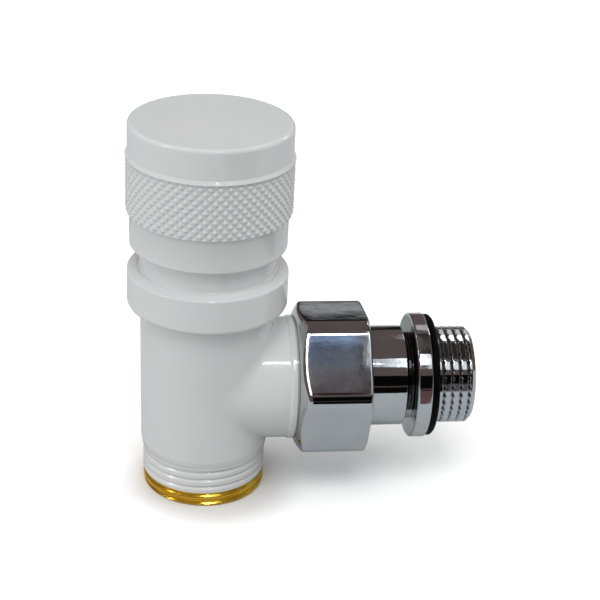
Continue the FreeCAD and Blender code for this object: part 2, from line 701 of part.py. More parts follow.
def make_tail():
    """The tail with its nose, barrel, flange and outlet thread, and the rings on it."""
    groove_r = NOSE_RING_R + " - nose_ring_section / 2 - seat_gap"
    groove_low = NOSE_RING_CENTRE + " - nose_ring_section / 2 - seat_gap"
    groove_high = NOSE_RING_CENTRE + " + nose_ring_section / 2 + seat_gap"
    grip_r = "barrel_d / 2 - ring_grip"
    relief_r = "barrel_d / 2 - relief_depth"
    bore_r = half("tail_bore_d")
    barrel_r = half("barrel_d")
    flange_r = half("flange_d")
    bevel_r = "flange_d / 2 - flange_bevel"
    thread_r = half("tail_thread_d")
    seal_seat_r = "tail_thread_d / 2 - seal_seat_depth"
    tail = turned("tail_piece", [
        (bore_r, NOSE_START),
        (NOSE_R, NOSE_START),
        (NOSE_R, groove_low),
        (groove_r, groove_low),
        (groove_r, groove_high),
        (NOSE_R, groove_high),
        (NOSE_R, TAIL_SHOULDER),
        (barrel_r, TAIL_SHOULDER),
        (barrel_r, RING_START),
        (grip_r, RING_START),
        (grip_r, RING_END),
        (barrel_r, RING_END),
        (barrel_r, RELIEF_START),
        (relief_r, RELIEF_START),
        (relief_r, FLANGE_START),
        (bevel_r, FLANGE_START),
        (flange_r, FLANGE_START + " + flange_bevel"),
        (flange_r, FLANGE_END + " - flange_bevel"),
        (bevel_r, FLANGE_END),
        (seal_seat_r, FLANGE_END),
        (seal_seat_r, SEAL_END),
        (thread_r, SEAL_END),
        (thread_r, TAIL_END + " - tail_chamfer"),
        ("tail_thread_d / 2 - tail_chamfer", TAIL_END),
        (bore_r, TAIL_END),
    ])
    lay(tail)
    ring_low = RING_START + " + seat_gap"
    ring_high = RING_END + " - seat_gap"
    ring = turned(
        "nut_retaining_ring",
        ring_outline(grip_r + " + seat_gap", "barrel_d / 2 + ring_stand", ring_low, ring_high),
        SPLIT_TURN,
    )
    lay(ring)
    o_ring("tail_o_ring", NOSE_RING_R, "nose_ring_section", NOSE_RING_CENTRE, lying=True)
    seal = turned("flange_seal", [
        (seal_seat_r + " + seat_gap", FLANGE_END),
        (bevel_r, FLANGE_END),
        (half("flange_seal_d"), FLANGE_END + " + flange_seal_width / 2"),
        (bevel_r, SEAL_END),
        (seal_seat_r + " + seat_gap", SEAL_END),
    ])
    lay(seal)


make_body()
make_bonnet()
make_gland()
make_spindle()
make_disc()
make_handwheel()
make_union_nut()
make_tail()
doc.recompute()

for item in doc.Objects:
    if "Invalid" in item.State or "Error" in item.State:
        raise RuntimeError("%s failed to build" % item.Label)
for node in nodes:
    if node.Shape.isNull() or not node.Shape.isValid():
        raise RuntimeError("%s has no valid shape" % node.Label)

os.makedirs("parts", exist_ok=True)
for node in nodes:
    node.Shape.exportStep("parts/%s.step" % node.Label)
    print("%-22s %9.1f mm3, %d faces" % (node.Label, node.Shape.Volume, len(node.Shape.Faces)))
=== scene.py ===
import math

import bmesh
import bpy
import numpy as np
from mathutils import Matrix, Vector


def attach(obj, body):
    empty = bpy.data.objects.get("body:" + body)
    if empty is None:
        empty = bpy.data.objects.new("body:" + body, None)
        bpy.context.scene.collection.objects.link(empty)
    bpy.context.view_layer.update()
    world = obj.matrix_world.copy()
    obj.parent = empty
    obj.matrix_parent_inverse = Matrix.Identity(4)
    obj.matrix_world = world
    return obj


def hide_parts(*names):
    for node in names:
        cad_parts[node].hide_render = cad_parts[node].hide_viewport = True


# Looks of an angle-pattern radiator valve: white lacquer, bare brass foot, chromed union.
# Shapes are given in millimetres in the CAD frame and become metres in finish_mesh().

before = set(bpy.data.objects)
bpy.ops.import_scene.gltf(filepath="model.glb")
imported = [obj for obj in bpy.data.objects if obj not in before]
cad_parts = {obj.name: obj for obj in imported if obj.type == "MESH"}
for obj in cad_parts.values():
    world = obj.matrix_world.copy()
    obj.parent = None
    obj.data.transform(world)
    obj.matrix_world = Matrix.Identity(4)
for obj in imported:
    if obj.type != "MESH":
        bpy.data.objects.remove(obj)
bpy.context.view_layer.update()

MM = 0.001
BRANCH_Z = 24.4

# Body, millimetres
INLET_R = 13.22
INLET_BORE_R = 9.0
INLET_TOP = 8.4
THREAD_PITCH = 1.814
LACQUER_EDGE = 3.35
SHELL_LOW = 9.6
SHELL_HIGH = 42.0
BODY_FOOT = 11.0
BODY_FOOT_R = 13.7
BODY_TOP = 42.9
BODY_TOP_R = 14.1
COLLAR_R = 16.87
COLLAR_TOP = 50.7
RIM_R = 14.92
RIM_TOP = 51.4
NECK_R = 14.3
NECK_TOP = 57.5
BONNET_BORE_R = 11.05
BRANCH_R = 13.1
BRANCH_ROOT = 3.0
SKIN_END = 18.6
BRANCH_END = 18.65
RIM_START = 17.0
RIM_RISE = 0.65
RIM_HIGH = 0.28
COVE = 0.95

# Handwheel
SKIRT_LOW = 56.5
SKIRT_R = 16.4
KNURL_LOW = 63.9
KNURL_HIGH = 75.8
KNURL_R = 17.35
KNURL_DEPTH = 0.55
KNURL_COUNT = 54
KNURL_ROWS = 6
FLARE_R = 17.45
FLARE_TOP = 76.7
CROWN_R = 16.9
CROWN_TOP = 83.0
CEILING = 79.0
HOLLOW_R = 14.7
BOSS_LOW = 72.5
BOSS_IN_R = 7.05
BOSS_OUT_R = 9.05

# Union nut and tail, along the branch
NUT_START = 18.9
NUT_END = 34.3
NUT_FLATS = 29.7
NUT_EDGE_ROUND = 4.0
NUT_CLOCK = math.radians(-8.0)
NUT_FACE_R = 13.8
NUT_BEVEL = 1.9
NUT_NOSE_R = 15.6
NUT_NOSE_BEVEL = 0.8
NUT_THREAD_R = 13.2
NUT_LIP = 30.9
NUT_LIP_R = 10.95
NOSE_START = 19.8
NOSE_R = 9.7
NOSE_END = 28.3
BARREL_R = 10.85
RELIEF_START = 42.9
RELIEF_R = 10.35
FLANGE_START = 44.1
FLANGE_END = 47.35
FLANGE_R = 13.55
SEAL_END = 48.95
SEAL_R = 13.25
SEAL_SEAT_R = 9.5775
TAIL_END = 57.3
TAIL_THREAD_R = 10.4775
TAIL_BORE_R = 7.5

TURN = 2 * math.pi
TINY = 1e-9  # keeps a division away from zero
WELD = 1e-7  # metres, points nearer than this become one
SHARP_TURN = math.radians(30)
COARSE_ROUND = 256
FINE_ROUND = 320

# Usual reach of a noise factor
NOISE_LOW = 0.25
NOISE_HIGH = 0.75


# Mesh helpers

def softened(corners, steps=6, guard=0.03):
    """An outline of (radius, height) points, each corner (radius, height, rounding) made an arc."""
    outline = []
    for index, (radius, height, rounding) in enumerate(corners):
        here = np.array((radius, height))
        if rounding == 0:
            outline.append(here)
            continue
        back = np.array(corners[index - 1][:2]) - here
        ahead = np.array(corners[(index + 1) % len(corners)][:2]) - here
        back = back / np.linalg.norm(back)
        ahead = ahead / np.linalg.norm(ahead)
        angle = math.acos(np.clip(back @ ahead, -1, 1))
        run = rounding / math.tan(angle / 2)
        inward = (back + ahead) / np.linalg.norm(back + ahead)
        centre = here + inward * rounding / math.sin(angle / 2)
        first = here + back * run - centre
        last = here + ahead * run - centre
        sweep = math.pi - angle
        outline.append(here + back * (run + guard))
        for share in np.linspace(0, 1, steps):
            arm = first * math.sin((1 - share) * sweep) + last * math.sin(share * sweep)
            outline.append(centre + arm / math.sin(sweep))
        outline.append(here + ahead * (run + guard))
    return np.array(outline)


def round_grid(heights, columns):
    """Height and angle of every point of a grid round the upright axis."""
    angles = np.arange(columns) * TURN / columns
    return np.meshgrid(heights, angles, indexing="ij")


def polar(radius, angle, height):
    """Points from their radius, angle and height round the upright axis."""
    return np.stack([radius * np.cos(angle), radius * np.sin(angle), height], axis=-1)


def turned(outline, columns):
    """The grid of points that an outline sweeps round the upright axis."""
    height, angle = round_grid(outline[:, 1], columns)
    return polar(outline[:, 0][:, None], angle, height)


def laid(points):
    """The same points with the upright axis laid along the branch."""
    return np.stack([points[..., 2], points[..., 1], BRANCH_Z - points[..., 0]], axis=-1)


def grid_faces(rows, columns, closed):
    """Quads between neighbouring rows; columns always run round, rows do when closed."""
    faces = []
    for row in range(rows if closed else rows - 1):
        above = (row + 1) % rows
        for column in range(columns):
            beside = (column + 1) % columns
            faces.append((
                row * columns + column,
                row * columns + beside,
                above * columns + beside,
                above * columns + column,
            ))
    return faces


def put_in_scene(name, data):
    """A new object in the scene that shows some data."""
    item = bpy.data.objects.new(name, data)
    bpy.context.scene.collection.objects.link(item)
    return item


def finish_mesh(name, points, closed=True):
    """A smooth mesh object from a grid of points in millimetres."""
    rows, columns = points.shape[:2]
    faces = grid_faces(rows, columns, closed)
    mesh = bpy.data.meshes.new(name)
    mesh.from_pydata((points.reshape(-1, 3) * MM).tolist(), [], faces)
    build = bmesh.new()
    build.from_mesh(mesh)
    bmesh.ops.remove_doubles(build, verts=build.verts, dist=WELD)
    bmesh.ops.recalc_face_normals(build, faces=build.faces)
    for face in build.faces:
        face.smooth = True
    build.to_mesh(mesh)
    build.free()
    return put_in_scene(name, mesh)


def settle(piece, body, slot, *materials):
    """Give a piece its materials and the body that it moves with; the slot argument is not used."""
    for material in materials:
        piece.data.materials.append(material)
    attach(piece, body)


def smooth_step(value):
    """A soft step from 0 to 1 as the value goes from 0 to 1."""
    value = np.clip(value, 0, 1)
    return value * value * (3 - 2 * value)


def soft_least(first, second, width):
    """The lesser of two values, blended over a width."""
    return (first + second - np.sqrt((first - second) ** 2 + width ** 2)) / 2


# Materials

def new_material(name):
    """An empty node material with its shader, and a helper that adds nodes to it."""
    material = bpy.data.materials.new(name)
    material.use_nodes = True
    tree = material.node_tree
    shader = tree.nodes["Principled BSDF"]

    def add(kind, **settings):
        node = tree.nodes.new(kind)
        for key, value in settings.items():
            if key in node.inputs:
                node.inputs[key].default_value = value
            else:
                setattr(node, key, value)
        return node

    return material, tree, shader, add


def noise(tree, add, scale, detail=3.0, roughness=0.5, stretch=(1, 1, 1)):
    """A noise in object space, stretched along the axes; its factor output."""
    place = add("ShaderNodeTexCoord")
    mapping = add("ShaderNodeMapping")
    mapping.inputs["Scale"].default_value = stretch
    texture = add("ShaderNodeTexNoise", Scale=scale, Detail=detail, Roughness=roughness)
    tree.links.new(place.outputs["Object"], mapping.inputs["Vector"])
    tree.links.new(mapping.outputs["Vector"], texture.inputs["Vector"])
    return texture.outputs["Fac"]


def ramp(tree, add, factor, stops, mode="LINEAR"):
    """A colour ramp on a factor; stops are (place, (r, g, b))."""
    node = add("ShaderNodeValToRGB")
    elements = node.color_ramp.elements
    while len(elements) < len(stops):
        elements.new(0.5)
    node.color_ramp.interpolation = mode
    for element, (place, colour) in zip(elements, stops):
        element.position = place
        element.color = (*colour, 1.0)
    tree.links.new(factor, node.inputs["Fac"])
    return node.outputs["Color"]


def spread(tree, add, factor, low, high):
    """A noise factor moved to the range low to high."""
    node = add("ShaderNodeMapRange")
    node.inputs["From Min"].default_value = NOISE_LOW
    node.inputs["From Max"].default_value = NOISE_HIGH
    node.inputs["To Min"].default_value = low
    node.inputs["To Max"].default_value = high
    tree.links.new(factor, node.inputs["Value"])
    return node.outputs["Result"]


def coat(tree, shader, colour, roughness):
    """Link a colour and a roughness to a shader."""
    tree.links.new(colour, shader.inputs["Base Color"])
    tree.links.new(roughness, shader.inputs["Roughness"])


def bump(tree, add, shader, heights):
    """Chain bumps of (factor, strength, distance) into the shader's normal."""
    normal = None
    for factor, strength, distance in heights:
        node = add("ShaderNodeBump", Strength=strength, Distance=distance)
        tree.links.new(factor, node.inputs["Height"])
        if normal is not None:
            tree.links.new(normal, node.inputs["Normal"])
        normal = node.outputs["Normal"]
    tree.links.new(normal, shader.inputs["Normal"])


def make_lacquer():
    """Gloss white lacquer with a faint orange peel and slow shifts of tint."""
    material, tree, shader, add = new_material("white_lacquer")
    tint = ramp(tree, add, noise(tree, add, 45.0, 2.0), [
        (0.30, (0.700, 0.712, 0.712)),
        (0.50, (0.715, 0.727, 0.730)),
        (0.70, (0.728, 0.732, 0.728)),
    ])
    coat(tree, shader, tint, spread(tree, add, noise(tree, add, 160.0), 0.07, 0.14))
    peel = noise(tree, add, 420.0, 2.0)
    swell = noise(tree, add, 110.0, 1.0)
    bump(tree, add, shader, [(swell, 0.10, 0.0006), (peel, 0.05, 0.0002)])
    shader.inputs["IOR"].default_value = 1.5
    return material


def make_chrome(name="chrome_plate", shade=1.0):
    """Polished chrome plate with the slight waves of the metal under it; a shade below 1 darkens it
    into painted shade.
    """
    material, tree, shader, add = new_material(name)
    tint = ramp(tree, add, noise(tree, add, 90.0, 3.0), [
        (0.30, (0.52 * shade, 0.53 * shade, 0.55 * shade)),
        (0.70, (0.60 * shade, 0.61 * shade, 0.63 * shade)),
    ])
    coat(tree, shader, tint, spread(tree, add, noise(tree, add, 700.0, 4.0), 0.035, 0.075))
    wave = noise(tree, add, 170.0, 1.5)
    pits = noise(tree, add, 1500.0, 3.0)
    bump(tree, add, shader, [(wave, 0.06, 0.0004), (pits, 0.03, 0.0001)])
    shader.inputs["Metallic"].default_value = 1.0
    return material


def make_brass():
    """Turned brass: golden, with fine tool lines round the axis and darker stains."""
    material, tree, shader, add = new_material("bare_brass")
    stain = ramp(tree, add, noise(tree, add, 260.0, 4.0, stretch=(1, 1, 4)), [
        (0.25, (0.66, 0.35, 0.02)),
        (0.50, (0.88, 0.54, 0.04)),
        (0.75, (0.96, 0.66, 0.10)),
    ])
    lines = noise(tree, add, 300.0, 3.0, stretch=(1, 1, 30))
    coat(tree, shader, stain, spread(tree, add, lines, 0.10, 0.24))
    bump(tree, add, shader, [(lines, 0.12, 0.0001)])
    shader.inputs["Metallic"].default_value = 0.78
    return material


def make_steel():
    """Bright spring steel with drawn lines."""
    material, tree, shader, add = new_material("spring_steel")
    lines = noise(tree, add, 400.0, 3.0, stretch=(1, 1, 20))
    tint = ramp(tree, add, lines, [
        (0.3, (0.42, 0.42, 0.43)),
        (0.7, (0.58, 0.58, 0.59)),
    ])
    coat(tree, shader, tint, spread(tree, add, lines, 0.22, 0.38))
    bump(tree, add, shader, [(lines, 0.08, 0.0001)])
    shader.inputs["Metallic"].default_value = 1.0
    return material


def make_rubber():
    """Black moulded rubber with a dull, slightly dusty skin."""
    material, tree, shader, add = new_material("black_rubber")
    dust = noise(tree, add, 500.0, 4.0)
    tint = ramp(tree, add, dust, [
        (0.4, (0.0010, 0.0010, 0.0010)),
        (0.8, (0.0040, 0.0040, 0.0045)),
    ])
    coat(tree, shader, tint, spread(tree, add, dust, 0.45, 0.62))
    bump(tree, add, shader, [(dust, 0.15, 0.0001)])
    shader.inputs["Specular IOR Level"].default_value = 0.06
    return material


def make_plastic():
    """Pale natural plastic of the gland washer."""
    material, tree, shader, add = new_material("gland_plastic")
    cloud = noise(tree, add, 300.0, 3.0)
    tint = ramp(tree, add, cloud, [
        (0.3, (0.66, 0.65, 0.60)),
        (0.7, (0.74, 0.73, 0.69)),
    ])
    coat(tree, shader, tint, spread(tree, add, cloud, 0.4, 0.55))
    bump(tree, add, shader, [(cloud, 0.05, 0.0001)])
    return material


lacquer = make_lacquer()
chrome = make_chrome()
# Painted shade: a darkened chrome for the upper side of the tail's relief groove
painted_shade_chrome = make_chrome("chrome_groove_painted_shade", shade=0.10)
brass = make_brass()
steel = make_steel()
rubber = make_rubber()
plastic = make_plastic()


# Body

def body_radius(height):
    """Radius of the body's slightly drafted wall."""
    share = (height - BODY_FOOT) / (BODY_TOP - BODY_FOOT)
    return BODY_FOOT_R + share * (BODY_TOP_R - BODY_FOOT_R)


def foot_radius(height):
    """Radius of the cone between the inlet thread and the body."""
    share = np.clip((height - INLET_TOP) / (BODY_FOOT - INLET_TOP), 0, 1)
    return INLET_R + share * (BODY_FOOT_R - INLET_R)


def wall_radius(height):
    """Radius of the body's wall with the cone at its foot."""
    return np.where(height < BODY_FOOT, foot_radius(height), body_radius(height))


def over_walls(points):
    """How far points lie outside the wall and outside the branch, and both directions out."""
    fall_back = 0.15  # takes the branch's far side away behind its root
    x, y, z = np.moveaxis(points, -1, 0)
    rise = z - BRANCH_Z
    upright = np.hypot(x, y)
    lying = np.maximum(np.hypot(y, rise), TINY)
    behind = np.maximum(BRANCH_ROOT - x, 0)
    level = np.zeros_like(x)
    out_of_wall = np.stack([x / upright, y / upright, level], axis=-1)
    out_of_branch = np.stack([level, y / lying, rise / lying], axis=-1)
    over_wall = upright - wall_radius(z)
    over_branch_side = lying - BRANCH_R + fall_back * behind ** 2
    return over_wall, over_branch_side, out_of_wall, out_of_branch


def blended(points, steps=5):
    """Points moved onto body and branch, with a soft cove where the two meet."""
    for _ in range(steps):
        wall, branch, out_of_wall, out_of_branch = over_walls(points)
        near = np.maximum(COVE - np.abs(wall - branch), 0) / COVE
        outside = np.minimum(wall, branch) - near ** 2 * COVE / 4
        share = np.where(wall < branch, 1 - near / 2, near / 2)[..., None]
        slope = share * out_of_wall + (1 - share) * out_of_branch
        points = points - outside[..., None] * slope / (slope ** 2).sum(axis=-1, keepdims=True)
    return points


def skin_points():
    """A grid over the body's outside: out along the branch to the cove, then round the body."""
    sides = 180
    branch_rows = 22
    branch_crowding = 1.5
    body_rows = 44
    body_crowding = 1.8
    nudge = 1e-6
    corner_steps = 20
    turn = np.linspace(0, math.pi, sides + 1)

    def meeting(turn):
        """Where branch and wall meet, and how far the grid goes on to the back and to the end."""
        y = BRANCH_R * np.sin(turn)
        rise = BRANCH_R * np.cos(turn)
        x = np.sqrt(wall_radius(BRANCH_Z + rise) ** 2 - y ** 2)
        limit = np.where(rise > 0, SHELL_HIGH - BRANCH_Z, BRANCH_Z - SHELL_LOW)
        azimuth = np.maximum(np.arctan2(y, x), TINY)
        return x, y, rise, azimuth, math.pi / azimuth, limit / np.maximum(np.abs(rise), TINY)

    def excess(turn):
        to_back, to_end = meeting(turn)[-2:]
        return to_back - to_end

    # A grid line runs into each corner where the back and the end meet
    beyond = excess(turn)
    for index in np.nonzero(np.diff(np.sign(beyond)))[0]:
        low, high = turn[index], turn[index + 1]
        corner = low - beyond[index] * (high - low) / (beyond[index + 1] - beyond[index])
        for _ in range(corner_steps):
            ahead = excess(np.array([corner, corner + nudge]))
            corner = corner - ahead[0] * nudge / (ahead[1] - ahead[0])
        turn[index] = corner
    x, y, rise, azimuth, to_back, to_end = meeting(turn)
    back = np.linspace(1, 0, branch_rows)[:-1, None] ** branch_crowding
    branch_x = x + (SKIN_END - x) * back
    level = 0 * branch_x
    along_branch = np.stack([branch_x, y + level, BRANCH_Z + rise + level], axis=-1)
    far = np.minimum(to_back, to_end)
    out = 1 + (far - 1) * np.linspace(0, 1, body_rows)[:, None] ** body_crowding
    height = BRANCH_Z + rise * out
    round_body = polar(wall_radius(height), azimuth * out, height)
    half = blended(np.concatenate([along_branch, round_body]))
    mirrored = half[:, -2:0:-1] * (1, -1, 1)
    return np.concatenate([half, mirrored], axis=1)


def cut_across(build, place, normal, **settings):
    """Cut a mesh along a plane, with the edges of the cut left in it."""
    bmesh.ops.bisect_plane(
        build,
        geom=build.verts[:] + build.edges[:] + build.faces[:],
        plane_co=place,
        plane_no=normal,
        **settings,
    )


def make_shell():
    """The middle of the body with its branch: a new outside on the bores of the CAD solid."""
    skin_depth = 0.1
    ring_width = 1e-6
    lacquer_end = NUT_START + 0.3
    gap_start = BRANCH_END - 0.1
    skin = finish_mesh("body_skin", skin_points(), closed=False)
    build = bmesh.new()
    build.from_mesh(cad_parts["valve_body"].data)
    bmesh.ops.remove_doubles(build, verts=build.verts, dist=WELD)
    for height, side in ((SHELL_LOW, -1), (SHELL_HIGH, 1)):
        cut_across(build, (0, 0, height * MM), (0, 0, side), clear_outer=True)

    # The CAD's outside goes, its bores and end faces stay
    build.verts.ensure_lookup_table()
    places = np.array([vert.co for vert in build.verts]) / MM
    wall, branch = over_walls(places + (0, TINY, 0))[:2]
    outer = (np.minimum(wall, branch) > -skin_depth) & (places[:, 0] < BRANCH_END)
    build.verts.index_update()
    bmesh.ops.delete(
        build,
        geom=[face for face in build.faces if all(outer[vert.index] for vert in face.verts)],
        context="FACES",
    )
    for face in build.faces:
        face.smooth = True
    for edge in build.edges:
        edge.smooth = not (edge.is_manifold and edge.calc_face_angle() > SHARP_TURN)

    # Bare brass inside, lacquer in the gap before the nut
    cut_across(build, (lacquer_end * MM, 0, 0), (1, 0, 0))
    for face in build.faces:
        across, sideways, height = face.calc_center_median() / MM
        from_axis = math.hypot(sideways, height - BRANCH_Z)
        in_gap = gap_start < across < lacquer_end and from_axis > NOSE_R
        face.material_index = 0 if in_gap else 1

    # The new outside is joined on at its three open ends
    build.from_mesh(skin.data)
    for axis, place in ((2, SHELL_LOW), (2, SHELL_HIGH), (0, SKIN_END)):
        rings = [
            edge for edge in build.edges
            if edge.is_boundary
            and all(abs(vert.co[axis] - place * MM) < ring_width for vert in edge.verts)
        ]
        bmesh.ops.bridge_loops(build, edges=rings)
    mesh = bpy.data.meshes.new("body_shell")
    build.to_mesh(mesh)
    build.free()
    bpy.data.objects.remove(skin)
    piece = put_in_scene("body_shell", mesh)
    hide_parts("valve_body")
    settle(piece, "valve_body", "white_lacquer", lacquer, brass)


def make_rim():
    """The low rim round the branch's end, which rises from the branch in a soft cove."""
    inner = BRANCH_R - 0.6
    foot = BRANCH_R - 0.02
    top = BRANCH_R + RIM_HIGH
    along = np.linspace(RIM_START, RIM_START + RIM_RISE, 15)
    rise = foot + (top - foot) * smooth_step((along - RIM_START) / RIM_RISE)
    outline = np.concatenate([
        np.stack([rise, along], axis=-1)[:-1],
        softened([
            (top, RIM_START + RIM_RISE, 0),
            (top, BRANCH_END, 0.2),
            (inner, BRANCH_END, 0),
            (inner, RIM_START, 0),
        ]),
    ])
    piece = finish_mesh("branch_rim", laid(turned(outline, COARSE_ROUND)))
    settle(piece, "valve_body", "white_lacquer", lacquer)


def make_collar():
    """Collar, bevel and neck above the shell."""
    outline = softened([
        (BONNET_BORE_R, SHELL_HIGH, 0),
        (body_radius(SHELL_HIGH), SHELL_HIGH, 0),
        (BODY_TOP_R, BODY_TOP, 0.35),
        (COLLAR_R, BODY_TOP, 1.1),
        (COLLAR_R, COLLAR_TOP, 0.35),
        (RIM_R, RIM_TOP, 0.2),
        (NECK_R, RIM_TOP, 0.45),
        (NECK_R, NECK_TOP, 0.3),
        (BONNET_BORE_R, NECK_TOP, 0.2),
    ])
    piece = finish_mesh("body_collar", turned(outline, FINE_ROUND))
    settle(piece, "valve_body", "white_lacquer", lacquer)


def make_inlet():
    """The threaded inlet: lacquer lies in the upper turns, the lowest are bare brass."""
    columns = 360
    rows = 177
    fine_top = 8.8
    first_groove = 1.10
    runout_start, runout = 8.45, 0.7
    brass_depth, lacquer_depth = 0.55, 0.42
    lacquer_reach = 0.30
    lacquer_film = 0.05
    end_bevel = 0.45
    bore_bevel = 0.3
    bore_wall = 1.0
    heights = np.concatenate([np.linspace(0.0, fine_top, rows), [9.1, 9.35, SHELL_LOW]])
    height, angle = round_grid(heights, columns)
    phase = (height - first_groove) / THREAD_PITCH - (angle + TURN / 4) / TURN
    off = np.abs(phase - np.round(phase))
    bare = height < LACQUER_EDGE
    depth = np.where(bare, brass_depth, lacquer_depth)
    fade = 1 - smooth_step((height - runout_start) / runout)
    wave = 0.5 + 0.5 * np.cos(TURN * off)
    groove = np.where(bare, wave, smooth_step(1 - off / lacquer_reach))
    radius = foot_radius(height) - depth * fade * groove
    film = np.where(bare, -lacquer_film, 0.0)
    radius = np.minimum(radius + film, INLET_R - end_bevel + height)
    outside = polar(radius, angle, height)
    bore = np.array([
        (INLET_BORE_R, SHELL_LOW),
        (INLET_BORE_R, bore_bevel),
        (INLET_BORE_R + bore_bevel, 0.0),
    ])
    piece = finish_mesh("inlet_thread", np.concatenate([outside, turned(bore, columns)]))
    settle(piece, "valve_body", "white_lacquer", lacquer, brass)
    for face in piece.data.polygons:
        place = face.center / MM
        inside = math.hypot(place.x, place.y) < INLET_BORE_R + bore_wall
        face.material_index = 1 if inside or place.z < LACQUER_EDGE else 0


# Handwheel

def make_cap():
    """The hollow handwheel without its knurl."""
    outline = softened([
        (HOLLOW_R, SKIRT_LOW, 0.3),
        (SKIRT_R, SKIRT_LOW, 0.5),
        (SKIRT_R, KNURL_HIGH, 0),
        (FLARE_R, KNURL_HIGH, 0.12),
        (CROWN_R, FLARE_TOP, 0.25),
        (CROWN_R, CROWN_TOP, 0.8),
        (0.0, CROWN_TOP, 0),
        (0.0, CEILING, 0),
        (BOSS_IN_R, CEILING, 0),
        (BOSS_IN_R, BOSS_LOW, 0.2),
        (BOSS_OUT_R, BOSS_LOW, 0.2),
        (BOSS_OUT_R, CEILING, 0.4),
        (HOLLOW_R, CEILING, 0.8),
    ], steps=8)
    piece = finish_mesh("handwheel_cap", turned(outline, FINE_ROUND))
    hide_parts("handwheel")
    settle(piece, "handwheel", "white_lacquer", lacquer)


def make_knurl():
    """Diamond knurl under a coat of lacquer: soft points between two sets of slanting grooves."""
    columns = KNURL_COUNT * 12
    rows = KNURL_ROWS * 13
    overlap = 0.1
    blur = 0.12
    sharp, soft = 0.55, 0.45
    bevel, bevel_slope = 0.45, 1.1
    top = KNURL_HIGH + overlap
    height, angle = round_grid(np.linspace(KNURL_LOW, top, rows), columns)
    around = angle / TURN * KNURL_COUNT
    up = (height - KNURL_LOW) / (KNURL_HIGH - KNURL_LOW) * KNURL_ROWS
    rising = 2 * np.abs(around + up - np.round(around + up))
    falling = 2 * np.abs(around - up - np.round(around - up))
    low = soft_least(rising, falling, blur)
    point = sharp * np.clip(low, 0, 1) + soft * smooth_step(low)
    radius = KNURL_R - KNURL_DEPTH + KNURL_DEPTH * point
    radius = np.minimum(radius, KNURL_R - bevel + (height - KNURL_LOW) * bevel_slope)
    outside = polar(radius, angle, height)
    inner_r = SKIRT_R - 0.2
    inner = turned(np.array([(inner_r, top), (inner_r, KNURL_LOW)]), columns)
    piece = finish_mesh("handwheel_knurl", np.concatenate([outside, inner]))
    settle(piece, "handwheel", "white_lacquer", lacquer)


# Union nut and tail

def rounded_hexagon(angle, apothem, rounding):
    """Radius of a hexagon with rounded corners and faintly full faces in each direction."""
    fullness = 0.02
    half_side = TURN / 12
    off = np.abs((angle + half_side) % (2 * half_side) - half_side)
    inner = apothem - rounding
    bulge = fullness * (1 - (np.tan(off) / math.tan(half_side)) ** 2)
    straight = (apothem + bulge) / np.cos(off)
    reach = inner / math.cos(half_side)
    aside = half_side - off
    beside = np.maximum(rounding ** 2 - (reach * np.sin(aside)) ** 2, 0)
    arc = reach * np.cos(aside) + np.sqrt(beside)
    return np.where(np.tan(off) * apothem <= inner * math.tan(half_side), straight, arc)


def make_nut():
    """Hexagon union nut with soft polished edges, as one height field round the branch axis."""
    columns = 480
    ends = 0.45
    gap = 0.1
    near_blend, far_blend = 0.35, 0.15
    lip_bevel = 0.3
    thread_bevel = 0.2
    curve = np.linspace(0, math.pi / 2, 7)
    along = np.concatenate([
        NUT_START + ends * (1 - np.cos(curve)),
        np.linspace(NUT_START + ends + gap, NUT_END - ends - gap, 100),
        NUT_END - ends * (1 - np.sin(curve)),
    ])
    place, angle = round_grid(along, columns)
    hexagon = rounded_hexagon(angle - NUT_CLOCK, NUT_FLATS / 2, NUT_EDGE_ROUND)
    corner = NUT_FLATS / 2 / math.cos(TURN / 12)
    near = NUT_FACE_R + (place - NUT_START) * (corner - NUT_FACE_R) / NUT_BEVEL
    far = NUT_NOSE_R + (NUT_END - place) * (corner - NUT_NOSE_R) / NUT_NOSE_BEVEL
    radius = soft_least(soft_least(hexagon, near, near_blend), far, far_blend)
    from_end = np.minimum(place - NUT_START, NUT_END - place)
    turn_in = np.clip(1 - from_end / ends, 0, 1)
    radius = radius - ends * (1 - np.sqrt(1 - turn_in ** 2))
    outside = polar(radius, angle, place)
    bore = np.array([
        (NUT_LIP_R + lip_bevel, NUT_END),
        (NUT_LIP_R, NUT_END - lip_bevel),
        (NUT_LIP_R, NUT_LIP),
        (NUT_THREAD_R, NUT_LIP),
        (NUT_THREAD_R, NUT_START + thread_bevel),
        (NUT_THREAD_R + thread_bevel, NUT_START),
    ])
    points = np.concatenate([outside, turned(bore, columns)])
    piece = finish_mesh("union_nut_shell", laid(points))
    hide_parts("union_nut")
    settle(piece, "union_nut", "chrome_plate", chrome)


def make_barrel():
    """The tail's nose, barrel and flange, with painted shade: darker chrome on the upper side of
    the relief groove.
    """
    groove_r = RELIEF_R - 0.9
    painted_shade_low = BRANCH_Z - 4
    outline = softened([
        (TAIL_BORE_R, NOSE_START, 0.2),
        (NOSE_R, NOSE_START, 0.3),
        (NOSE_R, NOSE_END, 0),
        (BARREL_R, NOSE_END, 0.2),
        (BARREL_R, RELIEF_START - 0.5, 0.25),
        (groove_r, RELIEF_START - 0.1, 0.2),
        (groove_r, FLANGE_START, 0.3),
        (FLANGE_R, FLANGE_START, 0.45),
        (FLANGE_R, FLANGE_END, 0.35),
        (SEAL_SEAT_R, FLANGE_END, 0),
        (SEAL_SEAT_R, SEAL_END, 0),
        (TAIL_BORE_R, SEAL_END, 0),
    ])
    piece = finish_mesh("tail_barrel", laid(turned(outline, FINE_ROUND)))
    # Painted shade: faces high in the relief groove take the darkened chrome
    for face in piece.data.polygons:
        across, sideways, height = Vector(face.center) / MM
        from_axis = math.hypot(sideways, height - BRANCH_Z)
        in_groove = (
            RELIEF_START - 0.4 < across < FLANGE_START + 0.1
            and NOSE_R - 0.5 < from_axis < FLANGE_R - 0.8
        )
        face.material_index = int(in_groove and height > painted_shade_low)
    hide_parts("tail_piece")
    settle(piece, "tail", "chrome_plate", chrome, painted_shade_chrome)


